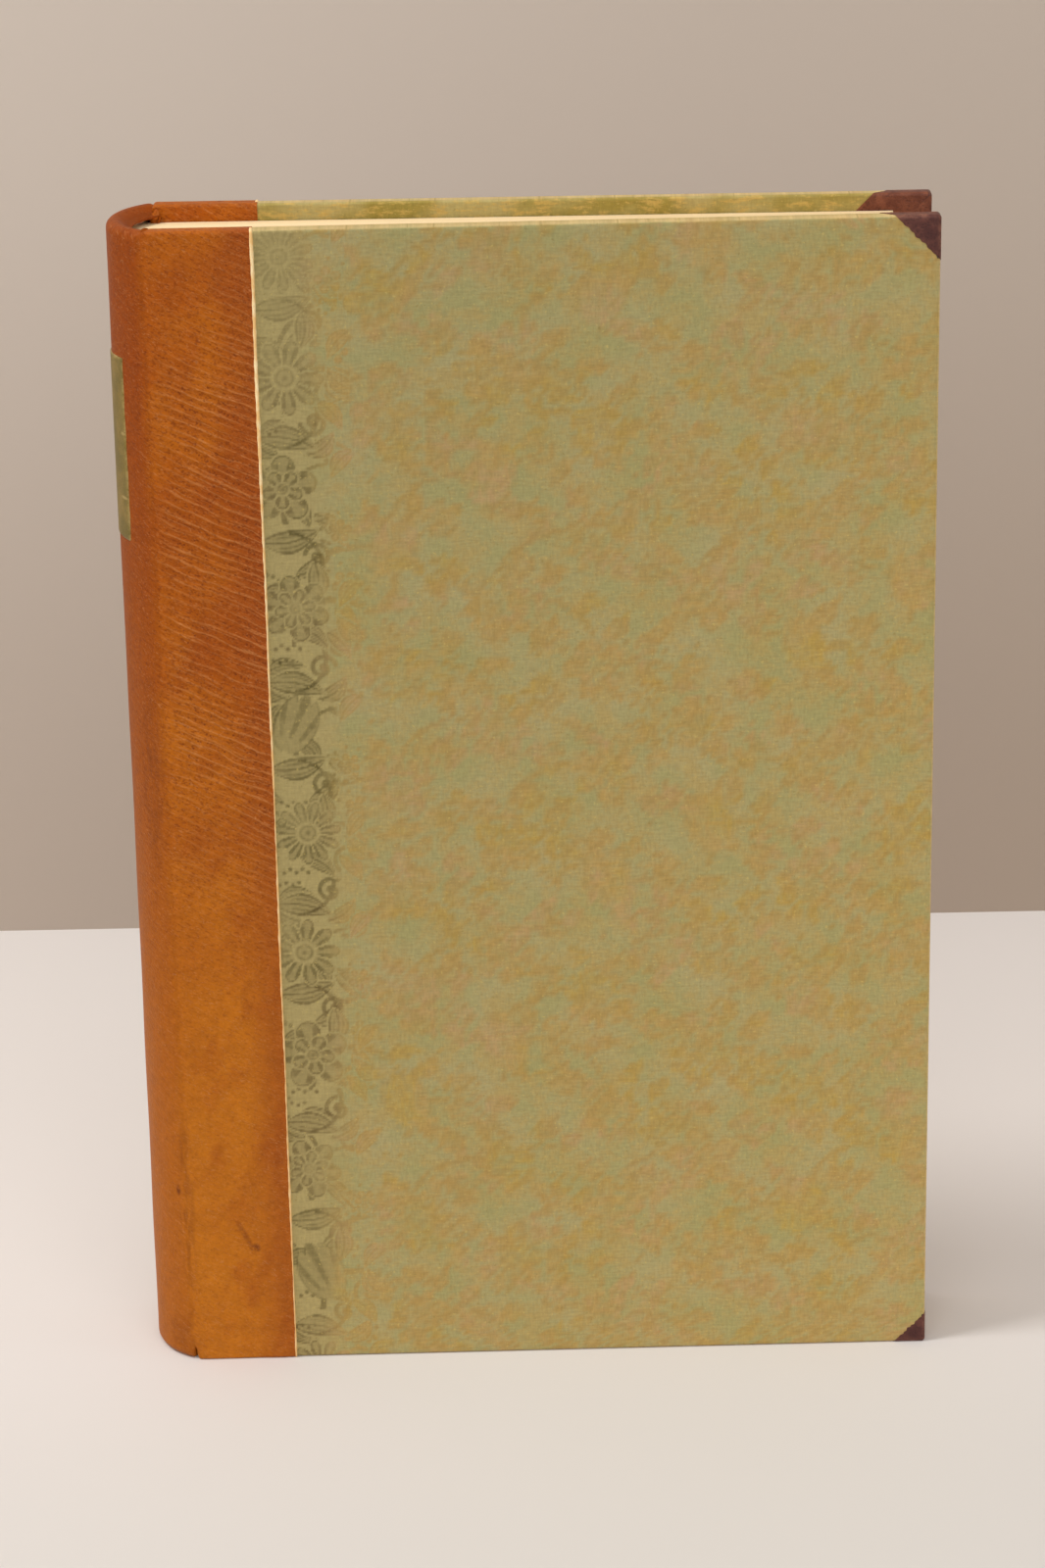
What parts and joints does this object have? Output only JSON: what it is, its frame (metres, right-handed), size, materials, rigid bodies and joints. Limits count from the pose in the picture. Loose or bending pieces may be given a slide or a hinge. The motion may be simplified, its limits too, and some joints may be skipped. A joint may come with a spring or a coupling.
{
  "type": "hardcover book",
  "caption": "Half-leather hardcover book standing on its tail edge, with hinged covers, a rounded hollow spine with a blank label, leather corners and patterned paper sides.",
  "frame": {"origin": "middle of the footprint of the closed book, on the surface that it stands on", "axes": "+Z from the tail to the head, +X from the spine to the fore-edge, -Y out of the front cover"},
  "size_m": [0.1474, 0.0248, 0.22],
  "materials": {
    "pages": "matt, cut edges of many leaves",
    "endpaper": "matt",
    "silk": "wound thread",
    "linen": "woven",
    "kraft_paper": "matt",
    "tan_leather": "smooth calf, lightly polished",
    "label_leather": "smooth",
    "grey_board": "matt",
    "gilt": "pale gold, burnished",
    "printed_paper": "matt, printed",
    "corner_leather": "fine grain"
  },
  "bodies": {
    "block": {"text_block": "pages", "front_flyleaf": "endpaper", "back_flyleaf": "endpaper", "head_endband": "silk", "tail_endband": "silk", "sewing_support_1": "linen", "sewing_support_2": "linen", "sewing_support_3": "linen", "sewing_support_4": "linen", "spine_lining": "linen", "hollow_tube": "kraft_paper", "spine_leather": "tan_leather", "spine_label": "label_leather"},
    "front_cover": {"front_board": "grey_board", "front_cord_ends": "linen", "front_side_leather": "tan_leather", "front_edge_line": "gilt", "front_side_paper": "printed_paper", "front_head_corner": "corner_leather", "front_tail_corner": "corner_leather", "front_infill": "grey_board", "front_pastedown": "endpaper"},
    "back_cover": {"back_board": "grey_board", "back_cord_ends": "linen", "back_side_leather": "tan_leather", "back_edge_line": "gilt", "back_side_paper": "printed_paper", "back_head_corner": "corner_leather", "back_tail_corner": "corner_leather", "back_infill": "grey_board", "back_pastedown": "endpaper"}
  },
  "joints": [
    {"name": "front_cover_hinge", "type": "hinge", "parent": "block", "child": "front_cover", "pos_m": [-0.06617, -0.0124, 0.11], "axis": [0, 0, -1], "range_deg": [0, 178]},
    {"name": "back_cover_hinge", "type": "hinge", "parent": "block", "child": "back_cover", "pos_m": [-0.06617, 0.0124, 0.11], "axis": [0, 0, 1], "range_deg": [0, 178]}
  ]
}
